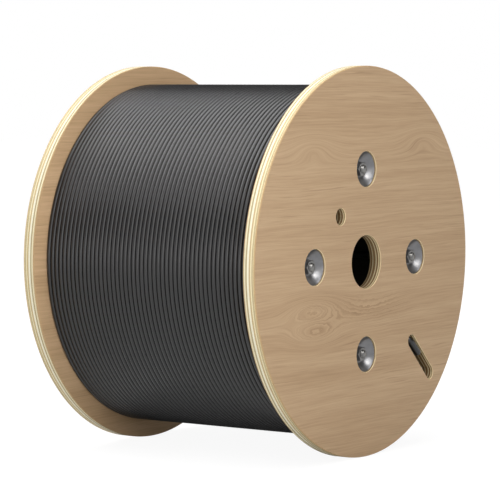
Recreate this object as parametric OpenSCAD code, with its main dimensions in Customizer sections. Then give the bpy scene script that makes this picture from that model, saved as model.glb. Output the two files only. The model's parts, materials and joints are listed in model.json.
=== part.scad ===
// Wooden cable drum with its cable: two round plywood flanges clamped on a barrel by four tie rods.
// The drum lies on its rims: its axis is along Y, the slotted flange faces -Y, and +Z is up.
// Every piece is drawn with the axis upright and the slotted flange on top, then laid down.

/* [Flanges] */
// Diameter of each plywood flange
flange_d = 500; // [420:5:600]
// Thickness of each flange
flange_t = 17; // [16.5:0.5:20]
// Overall width of the drum, over both flanges
drum_w = 360; // [260:10:460]
// Bevel on the edges of each flange's rim
rim_bevel = 0.8; // [0.2:0.1:2]

/* [Holes in the flanges] */
// Diameter of the arbor bore in the middle of each flange
arbor_d = 69; // [40:1:80]
// Diameter of the drive hole beside the bore
drive_d = 22; // [12:1:28]
// Distance of the drive hole inside the circle of the tie rods
drive_inset = 33.5; // [28:0.5:40]
// Direction of the drive hole, from +X towards +Z
drive_angle = 135; // [125:1:145]
// Width of the slot for the cable's inner end
slot_w = 17.5; // [14:0.5:22]
// Direction of the slot, from +X towards +Z
slot_angle = -45; // [-55:1:-35]
// Wood left between the barrel's groove and the slot's inner tip
slot_margin = 2.7; // [1:0.1:8]
// How far the slot's outer tip reaches past the winding
slot_reach = 4; // [0:0.5:10]

/* [Barrel] */
// Outer diameter of the barrel that carries the winding, as a share of the flange's diameter
barrel_share = 0.58; // [0.54:0.01:0.64]
// Wall of the barrel
barrel_wall = 6; // [3:0.5:8]
// Depth of the groove in each flange that the barrel stands in
groove_depth = 2; // [1:0.1:2.5]

/* [Tie rods and nuts] */
// Diameter of the tie rods
rod_d = 10; // [8:1:12]
// Distance from the barrel's inside to the middle of a tie rod
rod_margin = 20.5; // [16:0.5:26]
// Depth of a tie rod's end below the flange's face
rod_inset = 2.4; // [1:0.1:4]
// Bevel on the ends of the tie rods
rod_bevel = 1; // [0.5:0.1:1.5]
// Width of a nut across its flats
nut_flats = 17; // [16:0.5:19]
// Height of a nut
nut_h = 6; // [4:0.5:8]

/* [Dished cups] */
// Diameter of the recess bored for each cup
recess_d = 46; // [42:1:50]
// Depth of a cup's floor below the flange's face
cup_depth = 11.3; // [9:0.1:12]
// Depth of a cup's rim below the flange's face
cup_inset = 2.2; // [1:0.1:3]
// Diameter of the flat floor that the nut presses on
cup_floor_d = 24; // [22:1:28]
// Thickness of the steel that a cup is pressed from
cup_sheet = 1.5; // [1:0.1:2]

/* [Cable] */
// Diameter of the cable
cable_d = 6.4; // [5:0.1:9]
// Height of the flange's rim above the winding
freeboard = 24; // [15:1:40]
// Smallest gap between neighbouring turns of a layer
turn_gap = 0.1; // [0.1:0.1:0.5]
// Rise of each layer over the one below, as a share of the cable's diameter
layer_rise = 0.88; // [0.87:0.01:0.98]
// Length of the cable's inner end that lies straight in the slot
end_run = 19; // [10:0.5:30]
// Rise of that straight length towards the flange's face, in degrees
end_slope = 4; // [2:0.5:8]
// Thickness of the shrink cap on the cable's inner end
cap_wall = 1.5; // [0.5:0.1:2]

/* [Hidden] */
$fn = 96;
PLACES = ["right", "top", "left", "bottom"];

// Clearances
barrel_fit = 0.3;
cup_fit = 0.4;
thread_fit = 0.15;
rod_fit = 0.5;
side_fit = 0.3;
layer_fit = 0.2;
wall_fit = 0.5;
face_fit = 0.1;
// Overlap of a cut past the face that it opens
cut = 1;

// Flanges and barrel
flange_r = flange_d / 2;
face_z = drum_w / 2;
inside_w = drum_w - 2 * flange_t;
barrel_r = barrel_share * flange_r;
barrel_bore_r = barrel_r - barrel_wall;
arbor_r = arbor_d / 2;
rod_circle_r = barrel_bore_r - rod_margin;
rod_hole_r = rod_d / 2 + rod_fit;
drive_r = rod_circle_r - drive_inset;

// A cup's bowl is part of a sphere through the edge of its floor and the edge of its rim
recess_depth = cup_depth + cup_sheet;
cup_r = recess_d / 2 - cup_fit;
cup_lip = 0.4 * cup_sheet;
bowl_edge_r = cup_r - cup_lip;
cup_floor_r = cup_floor_d / 2;
bowl_rise = (bowl_edge_r ^ 2 - cup_floor_r ^ 2 + cup_inset ^ 2 - cup_depth ^ 2) / (2 * (cup_depth - cup_inset));
bowl_r = norm([cup_floor_r, cup_depth + bowl_rise]);

// Nuts
nut_corner_r = nut_flats / 2 / cos(30);
nut_top_r = 0.95 * nut_flats / 2;
nut_slope = tan(60);

// Winding: its turns fill the inside width, and its layers the depth from the barrel up
cable_r = cable_d / 2;
winding_r = flange_r - freeboard;
winding_bore_r = barrel_r + barrel_fit;
winding_w = inside_w - 2 * side_fit;
turn_steps = floor((winding_w - cable_d) / (cable_d + turn_gap));
turn_pitch = (winding_w - cable_d) / turn_steps;
layers_depth = winding_r - winding_bore_r - cable_d - layer_fit;
layer_steps = floor(layers_depth / (layer_rise * cable_d));
layer_pitch = layers_depth / layer_steps;
// Sides of each turn's section
turn_sides = 12;
// Depth of the solid body below the outer turns, and below the layer ends on the flanks
groove_floor = 0.32 * cable_d;
flank_floor = 0.72 * cable_d;
function layer_r(layer) = winding_r - cable_r - layer * layer_pitch;
function layer_shift(layer) = layer % 2 * turn_pitch / 2;

// Slot, between its two tips
slot_in_r = barrel_r + barrel_fit + slot_margin;
slot_out_r = winding_r + slot_reach;

// Inner end of the cable: it leaves the innermost full layer that clears the slot's tip, bends, and lies in the slot
// along one wall, with its cap against that wall
cap_r = cable_r + cap_wall;
end_side = slot_w / 2 - cap_r - wall_fit;
end_room = slot_w / 2 - cable_r - wall_fit;
end_least_r = slot_in_r + slot_w / 2 - sqrt(end_room ^ 2 - end_side ^ 2);
end_reach = floor((layer_r(0) - end_least_r) / layer_pitch);
end_r = layer_r(end_reach - end_reach % 2);
end_depth = flange_t + side_fit;
end_tip_depth = cap_r + face_fit;
end_bend_r = (end_depth - end_tip_depth - end_run * sin(end_slope)) / cos(end_slope);
end_bend_x = end_bend_r * (1 - sin(end_slope));
end_sides = 12;
end_bend_steps = 8;
end_tip_steps = 4;
end_tip_angle = 72;

// Lays the drum down, from an upright axis to one along Y
module laid() {
    rotate([90, 0, 0]) children();
}

// Both sides are drawn as the slotted one and the far one is its mirror image
module on_side(far) {
    mirror([0, 0, far ? 1 : 0]) children();
}

module at_rod(index) {
    rotate(90 * index) translate([rod_circle_r, 0, 0]) rotate(-90 * index) children();
}

// One flange at its place on the upper side, with the holes that both flanges have
module flange_plate() {
    difference() {
        translate([0, 0, face_z - flange_t]) rotate_extrude() polygon([
            [arbor_r, 0],
            [flange_r - rim_bevel, 0],
            [flange_r, rim_bevel],
            [flange_r, flange_t - rim_bevel],
            [flange_r - rim_bevel, flange_t],
            [arbor_r, flange_t]
        ]);
        translate([0, 0, face_z - flange_t - cut]) barrel_groove();
        for (index = [0:3]) at_rod(index) translate([0, 0, face_z]) cup_seat();
        rotate(drive_angle) translate([drive_r, 0, face_z - flange_t - cut])
            cylinder(d = drive_d, h = flange_t + 2 * cut);
    }
}

module barrel_groove() {
    difference() {
        cylinder(r = barrel_r + barrel_fit, h = groove_depth + cut);
        translate([0, 0, -cut]) cylinder(r = barrel_bore_r - barrel_fit, h = groove_depth + 3 * cut);
    }
}

// Recess for a cup and the hole for its rod, down from the flange's face
module cup_seat() {
    translate([0, 0, -recess_depth]) cylinder(d = recess_d, h = recess_depth + cut);
    translate([0, 0, -flange_t - cut]) cylinder(r = rod_hole_r, h = flange_t + 2 * cut);
}

module slot_cut() {
    slot_r = slot_w / 2;
    rotate(slot_angle) translate([0, 0, face_z - flange_t - cut]) linear_extrude(flange_t + 2 * cut) {
        translate([slot_in_r + slot_r, 0]) circle(slot_r);
        translate([slot_out_r - slot_r, 0]) circle(slot_r);
        translate([slot_in_r + slot_r, -slot_r]) square([slot_out_r - slot_in_r - slot_w, slot_w]);
    }
}

module flange_near() {
    color("burlywood") laid() difference() {
        flange_plate();
        slot_cut();
    }
}

module flange_far() {
    color("burlywood") laid() on_side(true) flange_plate();
}

module barrel() {
    barrel_w = inside_w + 2 * groove_depth;
    color("dimgray") laid() difference() {
        cylinder(r = barrel_r, h = barrel_w, center = true);
        cylinder(r = barrel_bore_r, h = barrel_w + 2 * cut, center = true);
    }
}

// The winding's section: round turns along its outside, and the ends of its layers on both flanks
module winding_section() {
    translate([winding_bore_r, flank_floor - winding_w / 2])
        square([winding_r - groove_floor - winding_bore_r, winding_w - 2 * flank_floor]);
    for (turn = [0:turn_steps]) translate([layer_r(0), cable_r - winding_w / 2 + turn * turn_pitch])
        circle(cable_r, $fn = turn_sides);
    for (side = [-1, 1], layer = [1:layer_steps])
        translate([layer_r(layer), side * (winding_w / 2 - cable_r - layer_shift(layer))])
            circle(cable_r, $fn = turn_sides);
}

module cable_winding() {
    color("#404040") laid() rotate_extrude() winding_section();
}

// One ring of the cable's inner end: its middle, its direction in degrees and its radius
function end_ring(x, z, direction, radius) = [
    for (side = [0:end_sides - 1]) let (angle = 360 * side / end_sides) [
        x - radius * cos(angle) * sin(direction),
        radius * sin(angle),
        z + radius * cos(angle) * cos(direction)
    ]
];

// A ring on the straight length
function run_ring(run, radius) = end_ring(
    end_bend_x + run * cos(end_slope), end_bend_r * cos(end_slope) + run * sin(end_slope), end_slope, radius
);

// Rings round the bend, then over the cap's bevelled mouth and its rounded tip
end_rings = concat(
    [for (step = [0:end_bend_steps]) let (angle = 180 - (90 - end_slope) * step / end_bend_steps)
        end_ring(end_bend_r * (1 + cos(angle)), end_bend_r * sin(angle), angle - 90, cable_r)],
    [run_ring(cap_wall, cable_r), run_ring(2 * cap_wall, cap_r)],
    [for (step = [0:end_tip_steps]) let (angle = end_tip_angle * step / end_tip_steps)
        run_ring(end_run + cap_r * sin(angle), cap_r * cos(angle))]
);

module cable_inner_end() {
    last = (len(end_rings) - 1) * end_sides;
    sides = [for (ring = [0:len(end_rings) - 2], side = [0:end_sides - 1])
        let (here = ring * end_sides, next = (side + 1) % end_sides)
        [here + side, here + next, here + end_sides + next, here + end_sides + side]];
    caps = [[for (side = [end_sides - 1:-1:0]) side], [for (side = [0:end_sides - 1]) last + side]];
    color("#404040") laid() rotate(slot_angle) translate([end_r, end_side, face_z - end_depth])
        polyhedron([for (ring = end_rings) each ring], concat(sides, caps));
}

module tie_rod(index) {
    rod_end = face_z - rod_inset;
    rod_r = rod_d / 2;
    color("silver") laid() at_rod(index) rotate_extrude() polygon([
        [0, -rod_end],
        [rod_r - rod_bevel, -rod_end],
        [rod_r, rod_bevel - rod_end],
        [rod_r, rod_end - rod_bevel],
        [rod_r - rod_bevel, rod_end],
        [0, rod_end]
    ]);
}

// Half of a cup's section, with its flat floor and the sphere of its bowl, below the flange's face
module cup_section() {
    intersection() {
        translate([rod_hole_r, -recess_depth]) square([cup_r - rod_hole_r, recess_depth - cup_inset]);
        difference() {
            translate([0, bowl_rise]) circle(bowl_r + cup_sheet);
            intersection() {
                translate([0, bowl_rise]) circle(bowl_r);
                translate([-cup_r, -cup_depth]) square([2 * cup_r, cup_depth]);
            }
        }
    }
}

module cup(index, far) {
    color("lightgray") laid() on_side(far) at_rod(index) translate([0, 0, face_z]) rotate_extrude() cup_section();
}

// A hexagon nut on the cup's floor, bevelled round its outer end
module nut(index, far) {
    color("silver") laid() on_side(far) at_rod(index) translate([0, 0, face_z - cup_depth]) difference() {
        intersection() {
            cylinder(r = nut_corner_r, h = nut_h, $fn = 6);
            cylinder(r1 = nut_top_r + nut_h * nut_slope, r2 = nut_top_r, h = nut_h);
        }
        translate([0, 0, -cut]) cylinder(r = rod_d / 2 + thread_fit, h = nut_h + 2 * cut);
    }
}

flange_near();
flange_far();
barrel();
cable_winding();
cable_inner_end();
for (index = [0:3]) {
    tie_rod(index);
    cup(index, false);
    cup(index, true);
    nut(index, false);
    nut(index, true);
}
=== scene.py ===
"""Looks of a wooden cable drum full of cable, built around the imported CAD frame.

Lengths are metres in the row's frame: the drum's axis is along Y, the slotted flange faces -Y and +Z is up.
"""
import json
import math
import random
from collections import namedtuple

import bmesh
import bpy
from mathutils import Matrix, Vector
from mathutils.geometry import tessellate_polygon


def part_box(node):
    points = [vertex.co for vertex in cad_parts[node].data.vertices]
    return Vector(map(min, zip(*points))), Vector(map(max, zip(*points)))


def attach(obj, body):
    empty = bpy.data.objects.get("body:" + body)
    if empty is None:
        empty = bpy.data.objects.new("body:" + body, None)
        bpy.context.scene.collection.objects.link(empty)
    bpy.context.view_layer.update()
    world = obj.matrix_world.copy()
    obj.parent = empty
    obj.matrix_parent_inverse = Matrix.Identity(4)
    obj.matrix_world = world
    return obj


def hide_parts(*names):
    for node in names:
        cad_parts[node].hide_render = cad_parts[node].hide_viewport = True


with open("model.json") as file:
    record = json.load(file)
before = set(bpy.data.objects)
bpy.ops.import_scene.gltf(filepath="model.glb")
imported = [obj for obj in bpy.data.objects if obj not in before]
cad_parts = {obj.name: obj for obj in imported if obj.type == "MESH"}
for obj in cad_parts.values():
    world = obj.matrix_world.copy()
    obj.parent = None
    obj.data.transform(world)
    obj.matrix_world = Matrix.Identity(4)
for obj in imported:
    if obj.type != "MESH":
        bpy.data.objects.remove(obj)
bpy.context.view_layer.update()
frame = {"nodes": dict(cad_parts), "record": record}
MM = 0.001

# Sizes read from the frame
MOUNTS = {mount["name"]: mount for mount in frame["record"]["mounts"]}
SIDES = {"near": -1, "far": 1}
PLACES = {"right": 0, "top": 90, "left": 180, "bottom": 270}
flange_low, flange_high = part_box("flange_near")
FLANGE_R = flange_high.x
FACE = -flange_low.y
FLANGE_T = flange_high.y - flange_low.y
BARREL_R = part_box("barrel")[1].x
BARREL_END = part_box("barrel")[1].y
WINDING_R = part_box("cable_winding")[1].x
WINDING_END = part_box("cable_winding")[1].y
ARBOR_R = MOUNTS["arbor_bore"]["dims"]["r_mm"] * MM
DRIVE_R = MOUNTS["drive_hole_near"]["dims"]["r_mm"] * MM
DRIVE_X, _, DRIVE_Z = MOUNTS["drive_hole_near"]["pos_m"]
rod_low, rod_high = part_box("tie_rod_right")
ROD_CIRCLE_R = (rod_low.x + rod_high.x) / 2
ROD_R = (rod_high.x - rod_low.x) / 2
ROD_END = rod_high.y
cup_low, cup_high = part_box("cup_near_right")
CUP_R = (cup_high.x - cup_low.x) / 2
CUP_RIM = FACE + cup_low.y
CUP_BACK = FACE + cup_high.y
nut_low, nut_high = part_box("nut_near_right")
NUT_FLATS = nut_high.z - nut_low.z
NUT_TOP = FACE + nut_low.y
NUT_BASE = FACE + nut_high.y

# Sizes of the solids that no box gives
RIM_BEVEL = 0.8 * MM
HOLE_BEVEL = 0.3 * MM
RECESS_FIT = 0.4 * MM
RECESS_R = CUP_R + RECESS_FIT
ROD_FIT = 0.5 * MM
ROD_HOLE_R = ROD_R + ROD_FIT
BARREL_WALL = 6 * MM
BARREL_FIT = 0.3 * MM
SLOT_ANGLE = math.radians(-45)
SLOT_HALF = 8.75 * MM
SLOT_IN_GAP, SLOT_OUT_GAP = 3 * MM, 4 * MM
SLOT_IN_R = BARREL_R + SLOT_IN_GAP
SLOT_OUT_R = WINDING_R + SLOT_OUT_GAP
CUP_SHEET = 1.5 * MM
CUP_FLOOR_R = 12 * MM
CUP_LIP = 0.6 * MM
CABLE_R = 3.2 * MM
TURNS = 50
TURN_PITCH = 2 * (WINDING_END - CABLE_R) / (TURNS - 1)
LAYERS = 13
LAYERS_FIT = 0.5 * MM
LAYER_PITCH = (WINDING_R - BARREL_R - 2 * CABLE_R - LAYERS_FIT) / LAYERS

# The plies of a flange, from its outer face to its inner one
PLY_SHARES = [1.3, 1.1, 1.7, 2.2, 1.8, 3.2, 1.8, 2.4, 1.5]
PLY_LINES = [
    FLANGE_T * sum(PLY_SHARES[:count]) / sum(PLY_SHARES)
    for count in range(1, len(PLY_SHARES))
]
GLUE_DEPTH = 0.07 * MM
GLUE_HALF = 0.12 * MM


class Shape:
    """Points and faces of one piece, gathered before its mesh is made."""

    def __init__(self):
        self.points = []
        self.faces = []
        self.slots = []

    def ring(self, points):
        """Adds points and returns their numbers."""
        start = len(self.points)
        self.points.extend(points)
        return list(range(start, len(self.points)))

    def face(self, corners, slot=0):
        self.faces.append(corners)
        self.slots.append(slot)

    def skin(self, rings, slot=0):
        """Joins neighbouring closed rings with quads."""
        for one, two in zip(rings, rings[1:]):
            for index in range(len(one)):
                after = (index + 1) % len(one)
                self.face((one[index], one[after], two[after], two[index]), slot)

    def rod(self, rings):
        """Skins a rod or cable and closes both its ends."""
        self.skin(rings)
        self.face(tuple(rings[0]))
        self.face(tuple(reversed(rings[-1])))

    def fill(self, loops):
        """Fills the flat area inside the first loop and outside the others."""
        numbers = [number for loop in loops for number in loop]
        outlines = [[Vector(self.points[number]) for number in loop] for loop in loops]
        for corners in tessellate_polygon(outlines):
            self.face(tuple(numbers[corner] for corner in corners))

    def piece(self, name, materials, nodes, sharp=30):
        """Makes the piece, which rides on the drum and stands for the CAD nodes."""
        mesh = bpy.data.meshes.new(name)
        mesh.from_pydata(self.points, [], self.faces)
        mesh.polygons.foreach_set("material_index", self.slots)
        build = bmesh.new()
        build.from_mesh(mesh)
        bmesh.ops.recalc_face_normals(build, faces=build.faces)
        build.to_mesh(mesh)
        build.free()
        for material in materials:
            mesh.materials.append(material)
        mesh.shade_smooth()
        mesh.set_sharp_from_angle(angle=math.radians(sharp))
        made = bpy.data.objects.new(name, mesh)
        bpy.context.scene.collection.objects.link(made)
        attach(made, "root")
        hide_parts(*nodes)


def circle(radius, y, steps, x=0.0, z=0.0):
    """A ring of points around the drum's direction."""
    angles = [2 * math.pi * step / steps for step in range(steps)]
    return [(x + radius * math.cos(a), y, z + radius * math.sin(a)) for a in angles]


def slot_point(along, across, y):
    """A point by its distance from the drum's axis, along the slot and across it."""
    return (
        along * math.cos(SLOT_ANGLE) - across * math.sin(SLOT_ANGLE),
        y,
        along * math.sin(SLOT_ANGLE) + across * math.cos(SLOT_ANGLE),
    )


SLOT_TIP_STEPS = 24


def slot_outline(cut, y):
    """The slot's outline, with round tips, opened out by cut."""
    radius = SLOT_HALF + cut
    points = []
    for tip, start in ((SLOT_OUT_R - SLOT_HALF, -90), (SLOT_IN_R + SLOT_HALF, 90)):
        for step in range(SLOT_TIP_STEPS + 1):
            angle = math.radians(start + 180 * step / SLOT_TIP_STEPS)
            points.append(slot_point(tip + radius * math.cos(angle), radius * math.sin(angle), y))
    return points


def rod_place(place):
    """Where a tie rod stands, across the drum."""
    angle = math.radians(PLACES[place])
    return ROD_CIRCLE_R * math.cos(angle), ROD_CIRCLE_R * math.sin(angle)


# Flanges

RIM_STEPS = 512
BORE_STEPS = 160
HOLE_STEPS = 72
GROOVE_STEPS = 256
GROOVE_DEPTH = BARREL_END - (FACE - FLANGE_T)
GROOVE_OUT_R = BARREL_R + BARREL_FIT
GROOVE_IN_R = BARREL_R - BARREL_WALL - BARREL_FIT
# Material slots of a flange, after the faces' own
EDGE, BORED = 1, 2


def wall_levels(depth, bevel, end_bevel):
    """Depths down a sawn wall, each with the cut into the wood there.

    The wall has bevels at its ends and fine grooves at the glue.
    """
    levels = [(0.0, bevel), (bevel, 0.0)]
    for line in PLY_LINES:
        if line < depth - max(end_bevel, GLUE_HALF):
            levels += [(line - GLUE_HALF, 0.0), (line, GLUE_DEPTH), (line + GLUE_HALF, 0.0)]
    if end_bevel:
        levels.append((depth - end_bevel, 0.0))
    return levels + [(depth, end_bevel)]


def add_flange(side, face, edge, bored):
    """One plywood flange, with its holes, recesses, barrel groove and, on the near side, the slot."""
    sign = SIDES[side]
    shape = Shape()

    def level(depth):
        return sign * (FACE - depth)

    def wall(outline, depth, bevel, end_bevel, slot):
        rings = [
            shape.ring(outline(cut, level(down)))
            for down, cut in wall_levels(depth, bevel, end_bevel)
        ]
        shape.skin(rings, slot)
        return rings[0], rings[-1]

    def hole(radius, steps, x=0.0, z=0.0, depth=FLANGE_T, end_bevel=HOLE_BEVEL):
        return wall(
            lambda cut, y: circle(radius + cut, y, steps, x, z), depth, HOLE_BEVEL, end_bevel, BORED,
        )

    rim = wall(
        lambda cut, y: circle(FLANGE_R - cut, y, RIM_STEPS), FLANGE_T, RIM_BEVEL, RIM_BEVEL, EDGE,
    )
    bore = hole(ARBOR_R, BORE_STEPS)
    drive = hole(DRIVE_R, HOLE_STEPS, DRIVE_X, DRIVE_Z)
    outside, inside = [rim[0], bore[0], drive[0]], [bore[1], drive[1]]
    ring_holes = []
    for place in PLACES:
        x, z = rod_place(place)
        mouth, floor = hole(RECESS_R, HOLE_STEPS, x, z, depth=CUP_BACK, end_bevel=0.0)
        rod_hole = [
            shape.ring(circle(ROD_HOLE_R, level(depth), HOLE_STEPS, x, z))
            for depth in (CUP_BACK, FLANGE_T)
        ]
        shape.skin([floor, *rod_hole], EDGE)
        outside.append(mouth)
        inside.append(rod_hole[1])
    if side == "near":
        slot = wall(slot_outline, FLANGE_T, HOLE_BEVEL, HOLE_BEVEL, BORED)
        outside.append(slot[0])
        ring_holes.append(slot[1])
    groove = [
        shape.ring(circle(radius, level(depth), GROOVE_STEPS))
        for radius, depth in (
            (GROOVE_OUT_R, FLANGE_T),
            (GROOVE_OUT_R, FLANGE_T - GROOVE_DEPTH),
            (GROOVE_IN_R, FLANGE_T - GROOVE_DEPTH),
            (GROOVE_IN_R, FLANGE_T),
        )
    ]
    shape.skin(groove, EDGE)
    shape.fill(outside)
    shape.fill([rim[1], groove[0], *ring_holes])
    shape.fill([groove[3], *inside])
    shape.piece(f"plywood_flange_{side}", [face, edge, bored], [f"flange_{side}"])


# Winding

TURN_STEPS = 144
TURN_SIDES = 12
CROSS_SHARE = 0.13
CROSS_ANGLE = math.radians(60)
END_SHARE = 0.07
WANDER = 0.05 * MM
WANDER_SEED = 7
DRIFT_KEPT, DRIFT_STEP = 0.9, 0.2


def add_winding(jacket):
    """The outer layer: turns side by side, each crossing to the next on the side away from the slot.

    The radius wanders a little, and both ends sink into the layers below.
    """
    rng = random.Random(WANDER_SEED)
    shape = Shape()
    sides = [2 * math.pi * side / TURN_SIDES for side in range(TURN_SIDES)]
    rings = []
    total = TURNS * TURN_STEPS
    drift = 0.0
    for step in range(total + 1):
        turn, part = divmod(step, TURN_STEPS)
        share = part / TURN_STEPS
        cross = max((share - 1 + CROSS_SHARE) / CROSS_SHARE, 0.0)
        cross *= cross * (3 - 2 * cross)
        place = min(turn + cross, TURNS - 1)
        drift = DRIFT_KEPT * drift + rng.uniform(-DRIFT_STEP, DRIFT_STEP) * WANDER
        ends = min(step, total - step) / (END_SHARE * TURN_STEPS)
        sink = 2 * CABLE_R * max(1 - ends, 0.0) ** 2
        middle_r = WINDING_R - CABLE_R - WANDER + drift - sink
        middle_y = CABLE_R - WINDING_END + place * TURN_PITCH
        angle = CROSS_ANGLE + 2 * math.pi * share
        rings.append(shape.ring([
            (
                (middle_r + CABLE_R * math.cos(a)) * math.cos(angle),
                middle_y + CABLE_R * math.sin(a),
                (middle_r + CABLE_R * math.cos(a)) * math.sin(angle),
            )
            for a in sides
        ]))
    shape.rod(rings)
    shape.piece("cable_turns", [jacket], ["cable_winding"], sharp=60)


LAYER_STEPS = 128
LAYER_ARC = 62
LAYER_ARC_STEPS = 8
LAYERS_INSET = 0.5 * MM


def add_layers(jacket):
    """The layers below, as a turned body whose ends show each layer's last turn."""
    half = [(BARREL_R + BARREL_FIT, WINDING_END - CABLE_R)]
    for layer in range(LAYERS, 0, -1):
        middle = WINDING_R - CABLE_R - layer * LAYER_PITCH
        back = WINDING_END - CABLE_R - layer % 2 * TURN_PITCH / 2
        for step in range(LAYER_ARC_STEPS + 1):
            angle = math.radians(LAYER_ARC * (2 * step / LAYER_ARC_STEPS - 1))
            half.append((middle + CABLE_R * math.sin(angle), back + CABLE_R * math.cos(angle)))
    half.append((WINDING_R - CABLE_R - LAYERS_INSET, WINDING_END - CABLE_R))
    profile = half + [(radius, -y) for radius, y in reversed(half)]
    shape = Shape()
    rings = [shape.ring(circle(radius, y, LAYER_STEPS)) for radius, y in profile]
    shape.skin(rings + rings[:1])
    shape.piece("cable_layers", [jacket], ["cable_winding"], sharp=60)


# Inner end of the cable, on the same route as its solid

CAP_WALL = 1.5 * MM
CAP_R = CABLE_R + CAP_WALL
CAP_EASE = 0.35 * MM
WALL_FIT = 0.5 * MM
FACE_FIT = 0.1 * MM
END_R = 154.4 * MM
END_SIDE = SLOT_HALF - CAP_R - WALL_FIT
END_SLOPE = math.radians(4)
END_RUN = 19 * MM
END_DEPTH = FACE - WINDING_END
END_BEND_R = (END_DEPTH - CAP_R - FACE_FIT - END_RUN * math.sin(END_SLOPE)) / math.cos(END_SLOPE)
END_BEND_STEPS = 16
CAP_STEP = 8
END_TIP_STEPS = 8
END_SIDES = 32


def add_inner_end(jacket):
    """The cable comes out of the winding, bends and lies along the slot, with a shrink cap on its end.

    A station is a place along the slot, a height over the winding, a direction and a radius.
    """
    stations = []
    for step in range(END_BEND_STEPS + 1):
        angle = math.pi - (math.pi / 2 - END_SLOPE) * step / END_BEND_STEPS
        x, z = END_BEND_R * (1 + math.cos(angle)), END_BEND_R * math.sin(angle)
        if step <= CAP_STEP:
            stations.append((x, z, angle - math.pi / 2, CABLE_R))
        if step >= CAP_STEP:
            stations.append((x, z, angle - math.pi / 2, CAP_R - CAP_EASE * (step == CAP_STEP)))
    start_x, start_z = END_BEND_R * (1 - math.sin(END_SLOPE)), END_BEND_R * math.cos(END_SLOPE)
    for step in range(END_TIP_STEPS):
        angle = math.pi / 2 * step / END_TIP_STEPS
        run = END_RUN + CAP_R * math.sin(angle)
        x, z = start_x + run * math.cos(END_SLOPE), start_z + run * math.sin(END_SLOPE)
        stations.append((x, z, END_SLOPE, CAP_R * math.cos(angle)))
    shape = Shape()
    rings = []
    for x, z, direction, radius in stations:
        ring = []
        for side in range(END_SIDES):
            angle = 2 * math.pi * side / END_SIDES
            ring.append(slot_point(
                END_R + x - radius * math.cos(angle) * math.sin(direction),
                END_SIDE + radius * math.sin(angle),
                END_DEPTH - FACE - z - radius * math.cos(angle) * math.cos(direction),
            ))
        rings.append(shape.ring(ring))
    shape.rod(rings)
    shape.piece("cable_end", [jacket], ["cable_inner_end"], sharp=40)


# Cups

CUP_STEPS = 96
BOWL_STEPS = 24
BOWL_BACK_STEPS = 12
LIP_STEPS = 5
LIP_TURN = 140
LIP_HALF_W, LIP_HALF_H = 0.6 * CUP_LIP, 0.5 * CUP_LIP


def add_cup(side, place, steel):
    """A dished cup with a rolled lip.

    It has a flat floor, a round bowl and the same bowl behind, a sheet's thickness back.
    """
    sign = SIDES[side]
    x, z = rod_place(place)
    floor = CUP_BACK - CUP_SHEET
    edge_r = CUP_R - CUP_LIP
    rise = (edge_r**2 - CUP_FLOOR_R**2 + CUP_RIM**2 - floor**2) / (2 * (floor - CUP_RIM))
    bowl_r = math.hypot(CUP_FLOOR_R, floor + rise)
    back_r = bowl_r + CUP_SHEET

    def bowl(radius, first, last, steps):
        angles = [first + (last - first) * step / steps for step in range(steps + 1)]
        return [(radius * math.sin(angle), radius * math.cos(angle) - rise) for angle in angles]

    profile = [(ROD_HOLE_R, CUP_BACK), (ROD_HOLE_R, floor)]
    profile += bowl(bowl_r, math.asin(CUP_FLOOR_R / bowl_r), math.asin(edge_r / bowl_r), BOWL_STEPS)
    for step in range(1, LIP_STEPS + 1):
        angle = math.radians(LIP_TURN - LIP_TURN * step / LIP_STEPS)
        profile.append((
            CUP_R - LIP_HALF_W + LIP_HALF_W * math.cos(angle),
            CUP_RIM + LIP_HALF_H - LIP_HALF_H * math.sin(angle),
        ))
    back_end = math.acos((CUP_BACK + rise) / back_r)
    profile += bowl(back_r, math.asin(CUP_R / back_r), back_end, BOWL_BACK_STEPS)
    shape = Shape()
    rings = [
        shape.ring(circle(radius, sign * (FACE - depth), CUP_STEPS, x, z))
        for radius, depth in profile
    ]
    shape.skin(rings + rings[:1])
    shape.piece(f"dished_cup_{side}_{place}", [steel], [f"cup_{side}_{place}"])


# Nuts

NUT_STEPS = 96
HEX_TURN, HEX_HALF = math.pi / 3, math.pi / 6
NUT_FIT = 0.15 * MM
NUT_HOLE_R = ROD_R + NUT_FIT
NUT_MOUTH = 0.5 * MM
NUT_BEVEL_R = 0.475 * NUT_FLATS
NUT_BEVEL_SLOPE = math.tan(math.radians(30))
NUT_TOP_SHARE, NUT_TOP_EASE = 0.99, 0.15 * MM
NUT_FOOT_SHARE, NUT_FOOT_EASE = 0.98, 0.2 * MM


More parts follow.
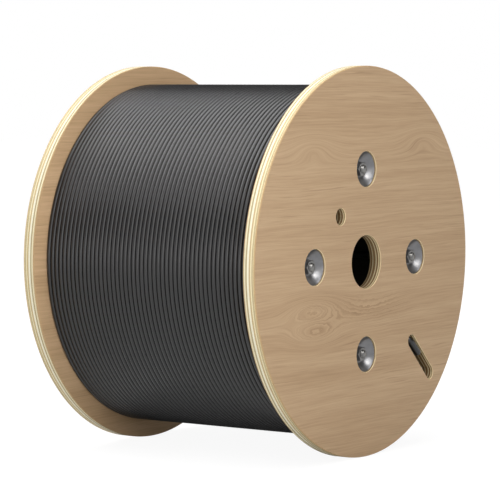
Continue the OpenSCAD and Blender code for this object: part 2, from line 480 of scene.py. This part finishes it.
def add_nut(side, place, steel):
    """A hexagon nut with the round bevel that leaves curved edges on its flats."""
    sign = SIDES[side]
    x, z = rod_place(place)

    def hexagon(share=1.0):
        def radius(angle):
            offset = (angle + HEX_HALF) % HEX_TURN - HEX_HALF
            return NUT_FLATS / 2 / math.cos(HEX_HALF - abs(offset)) * share
        return radius

    def bevelled(depth):
        return lambda r: depth + max(r - NUT_BEVEL_R, 0.0) * NUT_BEVEL_SLOPE

    def ring(radius, depth):
        points = []
        for step in range(NUT_STEPS):
            angle = 2 * math.pi * step / NUT_STEPS
            r = radius(angle)
            points.append((x + r * math.cos(angle), sign * (FACE - depth(r)), z + r * math.sin(angle)))
        return points

    levels = [
        (lambda angle: NUT_HOLE_R, lambda r: NUT_BASE),
        (lambda angle: NUT_HOLE_R, lambda r: NUT_TOP + NUT_MOUTH),
        (lambda angle: NUT_HOLE_R + NUT_MOUTH, lambda r: NUT_TOP),
        (lambda angle: NUT_BEVEL_R, lambda r: NUT_TOP),
        (hexagon(NUT_TOP_SHARE), bevelled(NUT_TOP)),
        (hexagon(), bevelled(NUT_TOP + NUT_TOP_EASE)),
        (hexagon(), lambda r: NUT_BASE - NUT_FOOT_EASE),
        (hexagon(NUT_FOOT_SHARE), lambda r: NUT_BASE),
    ]
    shape = Shape()
    rings = [shape.ring(ring(*level)) for level in levels]
    shape.skin(rings + rings[:1])
    shape.piece(f"hex_nut_{side}_{place}", [steel], [f"nut_{side}_{place}"])


# Tie rods

ROD_STEPS = 40
ROD_BEVEL = 1.1 * MM
THREAD_PITCH = 1.5 * MM
THREAD_DEPTH = 0.75 * MM
THREAD_FLANK, THREAD_CREST = 1.2, 0.1
THREAD_RUN = 13 * MM
THREAD_LEVELS = 10


def add_rod(place, steel):
    """A tie rod with a cut thread at both ends and a plain middle."""
    x, z = rod_place(place)
    step_y = THREAD_PITCH / THREAD_LEVELS
    run_steps = round(THREAD_RUN / step_y)
    ends = [ROD_END - step * step_y for step in range(run_steps + 1)]
    levels = [-y for y in ends] + list(reversed(ends))
    shape = Shape()
    rings = []
    for y in levels:
        bevel = max(abs(y) - ROD_END + ROD_BEVEL, 0.0)
        depth = THREAD_DEPTH if abs(y) > ends[-1] else 0.0
        ring = []
        for step in range(ROD_STEPS):
            share = step / ROD_STEPS
            wave = abs((y / THREAD_PITCH + share) % 1 * 2 - 1)
            inside = depth * min(max(THREAD_FLANK * wave - THREAD_CREST, 0.0), 1.0)
            radius = min(ROD_R - inside, ROD_R - bevel)
            angle = 2 * math.pi * share
            ring.append((x + radius * math.cos(angle), y, z + radius * math.sin(angle)))
        rings.append(shape.ring(ring))
    shape.rod(rings)
    shape.piece(f"threaded_rod_{place}", [steel], [f"tie_rod_{place}"], sharp=50)


# Materials

# The part of its range that a noise mostly keeps to
NOISE_LOW, NOISE_HIGH = 0.3, 0.7
BLACK, WHITE = (0, 0, 0), (1, 1, 1)


class Graph:
    """A material with its nodes, added and joined one call at a time."""

    def __init__(self, name):
        self.material = bpy.data.materials.new(name)
        self.material.use_nodes = True
        self.tree = self.material.node_tree
        self.shader = self.tree.nodes["Principled BSDF"]
        place = self.tree.nodes.new("ShaderNodeTexCoord").outputs["Object"]
        apart = self.tree.nodes.new("ShaderNodeSeparateXYZ")
        self.tree.links.new(place, apart.inputs[0])
        self.x, self.y, self.z = apart.outputs

    def put(self, socket, value):
        if isinstance(value, bpy.types.NodeSocket):
            self.tree.links.new(value, socket)
        else:
            socket.default_value = value

    def set(self, **values):
        """Sets the shader's own inputs, with _ for a space in a name."""
        for name, value in values.items():
            self.put(self.shader.inputs[name.replace("_", " ")], value)

    def math(self, operation, *values):
        node = self.tree.nodes.new("ShaderNodeMath")
        node.operation = operation
        for socket, value in zip(node.inputs, values):
            self.put(socket, value)
        return node.outputs[0]

    def total(self, *values):
        result = values[0]
        for value in values[1:]:
            result = self.math("ADD", result, value)
        return result

    def weighted(self, *parts):
        """The sum of values, each times its share."""
        return self.total(*[self.math("MULTIPLY", value, share) for value, share in parts])

    def vector(self, x, y, z):
        node = self.tree.nodes.new("ShaderNodeCombineXYZ")
        for socket, value in zip(node.inputs, (x, y, z)):
            self.put(socket, value)
        return node.outputs[0]

    def noise(self, vector, detail, roughness=0.5):
        node = self.tree.nodes.new("ShaderNodeTexNoise")
        self.put(node.inputs["Vector"], vector)
        self.put(node.inputs["Scale"], 1.0)
        self.put(node.inputs["Detail"], detail)
        self.put(node.inputs["Roughness"], roughness)
        return node.outputs[0]

    def marks(self, scales, detail, roughness=0.5):
        """A noise over the piece, with each direction scaled on its own."""
        ways = zip((self.x, self.y, self.z), scales)
        place = self.vector(*[self.math("MULTIPLY", way, scale) for way, scale in ways])
        return self.noise(place, detail, roughness)

    def span(self, value, low, high, to_low=0.0, to_high=1.0):
        """Maps low to high on to to_low to to_high, and stops at both."""
        node = self.tree.nodes.new("ShaderNodeMapRange")
        for socket, item in zip(node.inputs, (value, low, high, to_low, to_high)):
            self.put(socket, item)
        return node.outputs[0]

    def level(self, noise, low, high):
        """A value that goes from low to high with a noise."""
        return self.span(noise, NOISE_LOW, NOISE_HIGH, low, high)

    def ramp(self, value, stops, interpolation="LINEAR"):
        node = self.tree.nodes.new("ShaderNodeValToRGB")
        node.color_ramp.interpolation = interpolation
        elements = node.color_ramp.elements
        while len(elements) < len(stops):
            elements.new(1.0)
        for element, (position, color) in zip(elements, stops):
            element.position = position
            element.color = (*color, 1)
        self.put(node.inputs[0], value)
        return node.outputs[0]

    def tint(self, noise, low, high):
        """A colour that goes from low to high with a noise."""
        return self.ramp(noise, [(NOISE_LOW, low), (NOISE_HIGH, high)])

    def mix(self, share, one, two, blend="MIX"):
        node = self.tree.nodes.new("ShaderNodeMix")
        node.data_type = "RGBA"
        node.blend_type = blend
        for index, value in ((0, share), (6, one), (7, two)):
            self.put(node.inputs[index], value)
        return node.outputs[2]

    def bump(self, height, distance, strength):
        node = self.tree.nodes.new("ShaderNodeBump")
        self.put(node.inputs["Height"], height)
        self.put(node.inputs["Distance"], distance)
        self.put(node.inputs["Strength"], strength)
        self.put(self.shader.inputs["Normal"], node.outputs[0])


def srgb(red, green, blue):
    """A colour written as it shows on screen, in linear light."""
    def linear(value):
        value /= 255
        return value / 12.92 if value <= 0.04045 else ((value + 0.055) / 1.055) ** 2.4
    return linear(red), linear(green), linear(blue)


# An eye of the figure: its place and half sizes, how far the grain swings round it, and how strong the
# dark and the light sides of its lines are
Eye = namedtuple("Eye", "x z half_length half_height swing dark light")


def eye_bump(graph, eye):
    """A soft hill over an eye of the figure."""
    along = graph.math("DIVIDE", graph.math("SUBTRACT", graph.x, eye.x), eye.half_length)
    across = graph.math("DIVIDE", graph.math("SUBTRACT", graph.z, eye.z), eye.half_height)
    square = graph.math("ADD", graph.math("MULTIPLY", along, along), graph.math("MULTIPLY", across, across))
    return graph.math("EXPONENT", graph.math("MULTIPLY", square, -1.0))


VENEER_DARK = srgb(172, 143, 110)
VENEER_MID = srgb(188, 159, 126)
VENEER_LIGHT = srgb(201, 173, 140)
VENEER_STOPS = (0.32, 0.5, 0.68)
GROWTH = srgb(146, 114, 80)
PORE = srgb(132, 102, 71)
# Noises of the veneer: scale along the grain and across it, detail and roughness
SLOW_NOISE = (3.5, 9.0, 1.0, 0.5)
RIPPLE_NOISE = (24.0, 60.0, 2.0, 0.5)
JAG_NOISE = (90.0, 230.0, 2.0, 0.6)
BAND_NOISE = (1.6, 45.0, 3.0, 0.5)
ROW_NOISE = (6.0, 380.0, 2.0, 0.5)
FIBRE_NOISE = (17.0, 760.0, 2.0, 0.6)
PATCH_NOISE = (9.0, 22.0, 2.0, 0.5)
PORE_NOISE = (13.0, 470.0, 1.0, 0.5)
PORE_PATCH_NOISE = (4.0, 12.0, 2.0, 0.5)
DEPTH_SCALE = 200.0
# How far the grain swings, in metres
SLOW_SWING = 0.012
RIPPLE = 0.002
JAG_PLAIN, JAG_EYE = 0.0002, 0.0055
# Shares of the shade
BAND_SHARE, ROW_SHARE, FIBRE_SHARE = 0.40, 0.22, 0.38
# Growth lines, and their strength away from the eyes
GROWTH_PITCH = 0.0044
GROWTH_DRIFT = 1.5
GROWTH_PLAIN = 0.05
GROWTH_DARK = [(0.0, BLACK), (0.45, BLACK), (0.75, WHITE), (0.86, BLACK)]
GROWTH_LIGHT = [(0.0, (0.4, 0.4, 0.4)), (0.25, BLACK), (0.84, BLACK), (0.92, (0.7, 0.7, 0.7))]
PORE_STRENGTH, PORE_DEPTH = 0.36, 0.6


def veneer(name, eyes, seed, tone):
    """Flat-sliced face veneer, with growth lines, fibres and short pores.

    Its grain runs along X and flows round the eyes.
    """
    graph = Graph(name)
    deep = graph.math("MULTIPLY_ADD", graph.y, DEPTH_SCALE, seed)

    def grain(z, scales):
        along, across, detail, roughness = scales
        place = graph.vector(graph.math("MULTIPLY", graph.x, along), deep, graph.math("MULTIPLY", z, across))
        return graph.noise(place, detail, roughness)

    def swing(noise, reach):
        return graph.math("MULTIPLY", graph.math("SUBTRACT", noise, 0.5), reach)

    bumps = [(eye_bump(graph, eye), eye) for eye in eyes]
    strong = graph.weighted(*[(bump, eye.dark) for bump, eye in bumps])
    pale = graph.weighted(*[(bump, eye.light) for bump, eye in bumps])
    flow = graph.total(
        graph.z,
        swing(grain(graph.z, SLOW_NOISE), SLOW_SWING),
        swing(grain(graph.z, RIPPLE_NOISE), RIPPLE),
        swing(grain(graph.z, JAG_NOISE), graph.span(strong, 0.05, 0.4, JAG_PLAIN, JAG_EYE)),
        *[graph.math("MULTIPLY", bump, eye.swing) for bump, eye in bumps],
    )
    bands = grain(flow, BAND_NOISE)
    rows = grain(flow, ROW_NOISE)
    fibres = grain(flow, FIBRE_NOISE)
    value = graph.weighted((bands, BAND_SHARE), (rows, ROW_SHARE), (fibres, FIBRE_SHARE))
    # tone scales the veneer's shades; for the far flange it is painted light
    shades = [
        [part * channel for part, channel in zip(tone, shade)]
        for shade in (VENEER_DARK, VENEER_MID, VENEER_LIGHT)
    ]
    color = graph.ramp(value, list(zip(VENEER_STOPS, shades)))
    drift = graph.math("MULTIPLY", bands, GROWTH_DRIFT)
    phase = graph.math("FRACT", graph.math("MULTIPLY_ADD", flow, 1 / GROWTH_PITCH, drift))
    patchy = graph.span(grain(graph.z, PATCH_NOISE), 0.38, 0.6, 0.3, 1.0)
    dark_share, light_share = [
        graph.math("MULTIPLY", graph.math("ADD", strength, GROWTH_PLAIN), patchy)
        for strength in (strong, pale)
    ]
    dark, light = graph.ramp(phase, GROWTH_DARK), graph.ramp(phase, GROWTH_LIGHT)
    color = graph.mix(graph.math("MULTIPLY", dark, dark_share), color, (*GROWTH, 1))
    color = graph.mix(graph.math("MULTIPLY", light, light_share), color, (*shades[2], 1))
    thick = graph.span(grain(graph.z, PORE_PATCH_NOISE), 0.4, 0.62, 0.25, 1.0)
    pores = graph.span(grain(flow, PORE_NOISE), 0.62, 0.76, 0.0, PORE_STRENGTH)
    pores = graph.math("MULTIPLY", pores, thick)
    color = graph.mix(pores, color, (*PORE, 1))
    graph.set(Base_Color=color, Roughness=graph.level(fibres, 0.55, 0.68), Specular_IOR_Level=0.25)
    relief = graph.math("SUBTRACT", fibres, graph.math("MULTIPLY", pores, PORE_DEPTH))
    graph.bump(relief, distance=0.12 * MM, strength=0.5)
    return graph.material


PLY_COLORS = [
    srgb(214, 182, 138),
    srgb(246, 228, 188),
    srgb(208, 191, 153),
    srgb(247, 238, 204),
    srgb(218, 191, 147),
    srgb(252, 249, 230),
    srgb(194, 177, 141),
    srgb(246, 238, 208),
    srgb(208, 176, 134),
]
# Plies of the hole and slot walls: darker than the rim's, partly their own colour and partly painted shade
# inside the holes, with a pale first ply that is a painted highlight on the lip
BORE_SHADED_PLY_COLORS = [
    srgb(246, 226, 188),
    srgb(184, 156, 116),
    srgb(244, 230, 192),
    srgb(146, 116, 80),
    srgb(244, 230, 194),
    srgb(160, 130, 92),
    srgb(240, 226, 190),
    srgb(150, 122, 86),
    srgb(226, 204, 164),
]
GLUE = srgb(140, 118, 86)
GLUE_LINE_HALF = 0.1 * MM
WOBBLE_REACH = 0.5 * MM


def ply_edge(name, colors, lip, deep):
    """Cut plywood: plies by their depth from the outer face, with dark glue between and fine fibres along.

    Its tone goes from lip, at the outer face, to deep, at the inner one; where these differ, as on the bored
    walls, that is a painted highlight at the lip and painted shade deeper down.
    """
    graph = Graph(name)
    wobble = graph.marks((24.0, 90.0, 24.0), 2.0)
    depth = graph.total(
        graph.math("SUBTRACT", FACE, graph.math("ABSOLUTE", graph.y)),
        graph.math("MULTIPLY", graph.math("SUBTRACT", wobble, 0.5), WOBBLE_REACH),
    )
    stops = [(0.0, colors[0])]
    for line, color in zip(PLY_LINES, colors[1:]):
        stops += [((line - GLUE_LINE_HALF) / FLANGE_T, GLUE), ((line + GLUE_LINE_HALF) / FLANGE_T, color)]
    share = graph.math("DIVIDE", depth, FLANGE_T)
    color = graph.ramp(share, stops, "CONSTANT")
    fibres = graph.marks((60.0, 2600.0, 60.0), 3.0, 0.6)
    speckle = graph.marks((420.0, 900.0, 420.0), 2.0, 0.6)
    shade = graph.total(graph.level(fibres, 0.86, 1.06), graph.level(speckle, -0.06, 0.05))
    color = graph.mix(1.0, color, graph.ramp(shade, [(0.0, BLACK), (1.0, WHITE)]), "MULTIPLY")
    # Where lip and deep differ this is painted light and shade: bright at the outer face, dark deeper in the
    # hole
    tone = graph.ramp(share, [(0.05, lip), (0.95, deep)])
    color = graph.mix(1.0, color, tone, "MULTIPLY")
    graph.set(Base_Color=color, Roughness=graph.level(speckle, 0.55, 0.72), Specular_IOR_Level=0.25)
    graph.bump(fibres, distance=0.1 * MM, strength=0.5)
    return graph.material


def jacket():
    """Satin black extruded jacket with faint scuffs."""
    graph = Graph("cable_jacket")
    scuffs = graph.marks((30.0, 900.0, 30.0), 3.0, 0.6)
    clouds = graph.marks((9.0, 22.0, 9.0), 2.0)
    color = graph.tint(graph.weighted((scuffs, 0.4), (clouds, 0.6)), srgb(20, 20, 21), srgb(28, 27, 28))
    graph.set(Base_Color=color, Roughness=graph.level(scuffs, 0.27, 0.33), Specular_IOR_Level=0.58)
    graph.bump(scuffs, distance=0.05 * MM, strength=0.3)
    return graph.material


ROUGHNESS_SPREAD = 0.03


def metal(name, low, high, roughness, mark_scales):
    """Bright steel with drawn marks and a soft tarnish."""
    graph = Graph(name)
    marks = graph.marks(mark_scales, 3.0, 0.6)
    clouds = graph.marks((120.0, 120.0, 120.0), 3.0)
    graph.set(
        Base_Color=graph.tint(clouds, low, high),
        Metallic=1.0,
        Roughness=graph.level(marks, roughness - ROUGHNESS_SPREAD, roughness + ROUGHNESS_SPREAD),
    )
    graph.bump(marks, distance=0.03 * MM, strength=0.12)
    return graph.material


def fibreboard():
    """Dark pressed fibreboard with a felted surface."""
    graph = Graph("fibreboard")
    felt = graph.marks((700.0, 700.0, 700.0), 4.0, 0.65)
    clouds = graph.marks((25.0, 25.0, 25.0), 2.0)
    color = graph.tint(graph.weighted((felt, 0.5), (clouds, 0.5)), srgb(38, 34, 30), srgb(62, 55, 48))
    graph.set(Base_Color=color, Roughness=0.8, Specular_IOR_Level=0.2)
    graph.bump(felt, distance=0.2 * MM, strength=0.6)
    return graph.material


# Building the drum

NEAR_EYES = [
    Eye(-0.122, -0.053, 0.056, 0.019, -0.029, 0.48, 0.56),
    Eye(-0.118, -0.082, 0.052, 0.018, 0.027, 0.40, 0.50),
    Eye(0.010, -0.062, 0.085, 0.020, 0.010, 0.52, 0.52),
    Eye(-0.122, 0.148, 0.046, 0.017, -0.019, 0.03, 0.30),
    Eye(0.140, 0.155, 0.046, 0.017, -0.019, 0.03, 0.26),
]
FAR_EYES = [
    Eye(0.110, 0.070, 0.050, 0.018, 0.027, 0.40, 0.40),
    Eye(-0.010, 0.080, 0.080, 0.020, -0.009, 0.30, 0.30),
    Eye(-0.100, -0.150, 0.036, 0.014, -0.019, 0.12, 0.12),
]
NEAR_SEED, FAR_SEED = 1.7, 23.1
# The far flange's veneer is painted lighter than the near one's: painted light for its inner face, which the
# winding and the near flange shade
NEAR_TONE, FAR_LIT_TONE = (1.0, 1.0, 1.0), (1.20, 1.17, 1.11)
EDGE_TONE = (0.77, 0.75, 0.69)
# The bored walls' tone is painted: a highlight at the lip and shade towards the inner face
BORE_LIT_LIP, BORE_SHADED_DEEP = (0.98, 0.96, 0.91), (0.45, 0.42, 0.37)
edge_plies = ply_edge("ply_edge", PLY_COLORS, EDGE_TONE, EDGE_TONE)
bore_plies_painted_shade = ply_edge("bore_plies_painted_shade", BORE_SHADED_PLY_COLORS, BORE_LIT_LIP, BORE_SHADED_DEEP)
cable_black = jacket()
cup_steel = metal("cup_steel", srgb(116, 116, 118), srgb(128, 128, 130), 0.31, (500.0, 90.0, 500.0))
zinc = metal("zinc_steel", srgb(112, 111, 110), srgb(134, 133, 131), 0.30, (300.0, 300.0, 300.0))
add_flange("near", veneer("veneer_near", NEAR_EYES, NEAR_SEED, NEAR_TONE), edge_plies, bore_plies_painted_shade)
add_flange("far", veneer("veneer_far", FAR_EYES, FAR_SEED, FAR_LIT_TONE), edge_plies, bore_plies_painted_shade)
add_winding(cable_black)
add_layers(cable_black)
add_inner_end(cable_black)
for rod in PLACES:
    add_rod(rod, zinc)
    for flange_side in SIDES:
        add_cup(flange_side, rod, cup_steel)
        add_nut(flange_side, rod, zinc)
barrel = frame["nodes"]["barrel"]
barrel.data.materials.clear()
barrel.data.materials.append(fibreboard())

# Camera

VIEW_AZIMUTH = math.radians(-54.932)
VIEW_ELEVATION = math.radians(3.830)
VIEW_ROLL = math.radians(-0.081)
VIEW_DISTANCE = 13.7217 * FLANGE_R
VIEW_SIDE = -0.0057 * FLANGE_R
VIEW_RISE = 0.0341 * FLANGE_R
LENS_MM = 187.64
SENSOR_MM = 36
CLIP_END = 100


def add_camera():
    """The camera, at the photograph's view."""
    back = Vector((
        math.sin(VIEW_AZIMUTH) * math.cos(VIEW_ELEVATION),
        -math.cos(VIEW_AZIMUTH) * math.cos(VIEW_ELEVATION),
        math.sin(VIEW_ELEVATION),
    ))
    right = Vector((math.cos(VIEW_AZIMUTH), math.sin(VIEW_AZIMUTH), 0))
    up = back.cross(right)
    place = back * VIEW_DISTANCE + right * VIEW_SIDE + up * VIEW_RISE
    turn = Matrix((right, up, back)).transposed().to_4x4() @ Matrix.Rotation(VIEW_ROLL, 4, "Z")
    data = bpy.data.cameras.new("camera")
    data.lens = LENS_MM
    data.sensor_width = SENSOR_MM
    data.clip_end = CLIP_END
    camera = bpy.data.objects.new("camera", data)
    camera.matrix_world = Matrix.Translation(place) @ turn
    bpy.context.scene.collection.objects.link(camera)
    bpy.context.scene.camera = camera


add_camera()

# Floor, world and lights

FLOOR_SIZE = 24
FLOOR_BOUNCE = 0.62
FLOOR_GLOW = 0.93
FLOOR_SHADOW = 0.10
GLOW_NEAR, GLOW_FAR = 0.6, 1.8
SHADE_REACH = 0.4
SHADE_DARK, SHADE_LIGHT = 0.08, 0.42
SHADE_TOP = 0.88
BACKDROP_TOP, CEILING_START = math.sin(math.radians(7)), math.sin(math.radians(12))
BACKDROP_LIGHT, CEILING_LIGHT = 1.0, 0.08


def seen_directly(tree):
    """1 for camera, glossy and transmission rays, which see the floor's white.

    It is 0 for the light that the floor gives.
    """
    path = tree.nodes.new("ShaderNodeLightPath")
    value = path.outputs["Is Camera Ray"]
    for name in ("Is Glossy Ray", "Is Transmission Ray"):
        node = tree.nodes.new("ShaderNodeMath")
        node.operation = "MAXIMUM"
        tree.links.new(value, node.inputs[0])
        tree.links.new(path.outputs[name], node.inputs[1])
        value = node.outputs[0]
    return value


def add_floor():
    """A white floor that keeps a faint shadow. In reflections its glow is dark close under the drum: painted
    shade from an ambient occlusion test.
    """
    half = FLOOR_SIZE / 2
    corners = [(x * half, y * half, -FLANGE_R) for x, y in ((-1, -1), (1, -1), (1, 1), (-1, 1))]
    mesh = bpy.data.meshes.new("floor")
    mesh.from_pydata(corners, [], [(0, 1, 2, 3)])
    floor = bpy.data.objects.new("floor", mesh)
    bpy.context.scene.collection.objects.link(floor)
    graph = Graph("floor")
    mesh.materials.append(graph.material)
    tree = graph.tree
    tree.nodes.remove(graph.shader)
    bounce = tree.nodes.new("ShaderNodeBsdfDiffuse")
    bounce.inputs["Color"].default_value = (FLOOR_BOUNCE, FLOOR_BOUNCE, FLOOR_BOUNCE, 1)
    squares = [graph.math("MULTIPLY", way, way) for way in (graph.x, graph.y)]
    away = graph.math("SQRT", graph.math("ADD", *squares))
    camera_ray = tree.nodes.new("ShaderNodeLightPath").outputs["Is Camera Ray"]
    # Painted shade: ambient occlusion darkens the glow that reflections see under the drum
    shade = tree.nodes.new("ShaderNodeAmbientOcclusion")
    shade.inputs["Distance"].default_value = SHADE_REACH
    reflected = graph.span(shade.outputs["AO"], SHADE_DARK, SHADE_LIGHT, 0.0, SHADE_TOP)
    glow = tree.nodes.new("ShaderNodeEmission")
    graph.put(glow.inputs["Strength"], graph.math(
        "MULTIPLY",
        graph.span(away, GLOW_NEAR, GLOW_FAR, FLOOR_GLOW, 1.0),
        graph.math("MAXIMUM", camera_ray, reflected),
    ))
    shadow = tree.nodes.new("ShaderNodeBsdfDiffuse")
    shadow.inputs["Color"].default_value = (FLOOR_SHADOW, FLOOR_SHADOW, FLOOR_SHADOW, 1)
    white = tree.nodes.new("ShaderNodeAddShader")
    mix = tree.nodes.new("ShaderNodeMixShader")
    tree.links.new(glow.outputs[0], white.inputs[0])
    tree.links.new(shadow.outputs[0], white.inputs[1])
    tree.links.new(seen_directly(tree), mix.inputs[0])
    tree.links.new(bounce.outputs[0], mix.inputs[1])
    tree.links.new(white.outputs[0], mix.inputs[2])
    tree.links.new(mix.outputs[0], tree.nodes["Material Output"].inputs["Surface"])


def add_world():
    """A studio that is white round the horizon, like a backdrop, and dimmer overhead."""
    world = bpy.data.worlds.new("studio")
    bpy.context.scene.world = world
    world.use_nodes = True
    tree = world.node_tree
    direction = tree.nodes.new("ShaderNodeTexCoord").outputs["Generated"]
    apart = tree.nodes.new("ShaderNodeSeparateXYZ")
    height = tree.nodes.new("ShaderNodeMapRange")
    tree.links.new(direction, apart.inputs[0])
    tree.links.new(apart.outputs["Z"], height.inputs["Value"])
    height.inputs["From Min"].default_value = BACKDROP_TOP
    height.inputs["From Max"].default_value = CEILING_START
    height.inputs["To Min"].default_value = BACKDROP_LIGHT
    height.inputs["To Max"].default_value = CEILING_LIGHT
    light = tree.nodes["Background"]
    light.inputs["Color"].default_value = (1, 1, 1, 1)
    tree.links.new(height.outputs[0], light.inputs["Strength"])


def add_softbox(name, direction, distance, size, power, color=(1, 1, 1), gloss_only=False):
    """A softbox that faces the drum's middle.

    One that is gloss_only shows in gloss and adds no light to the surfaces' own colours.
    """
    data = bpy.data.lights.new(name, "AREA")
    data.shape = "RECTANGLE"
    data.size, data.size_y = size
    data.energy = power
    data.color = color
    light = bpy.data.objects.new(name, data)
    away = Vector(direction).normalized()
    turn = away.to_track_quat("Z", "Y").to_matrix().to_4x4()
    light.matrix_world = Matrix.Translation(away * distance) @ turn
    light.visible_camera = False
    light.visible_diffuse = not gloss_only
    bpy.context.scene.collection.objects.link(light)


add_floor()
add_world()
add_softbox("front", (-0.04, -0.80, 0.60), 2.0, (0.40, 0.52), 4.9, (1.0, 0.95, 0.86))
add_softbox("gleam", (-0.16, -0.80, 0.57), 2.0, (1.4, 1.2), 16.0, gloss_only=True)
add_softbox("key", (-0.46, -0.78, 0.38), 1.55, (0.9, 0.9), 2.3, (1.0, 0.97, 0.92))
add_softbox("side", (-0.85, -0.40, 0.35), 0.9, (0.6, 0.6), 2.2)
add_softbox("left", (-0.98, -0.10, 0.0), 1.8, (1.0, 0.22), 1.7)
add_softbox("fill", (0.30, -0.46, 0.83), 2.6, (1.5, 1.3), 4.0)
add_softbox("overhead", (-0.15, 0.31, 0.94), 2.63, (3.22, 4.8), 174)
bpy.context.scene.view_settings.view_transform = "Standard"
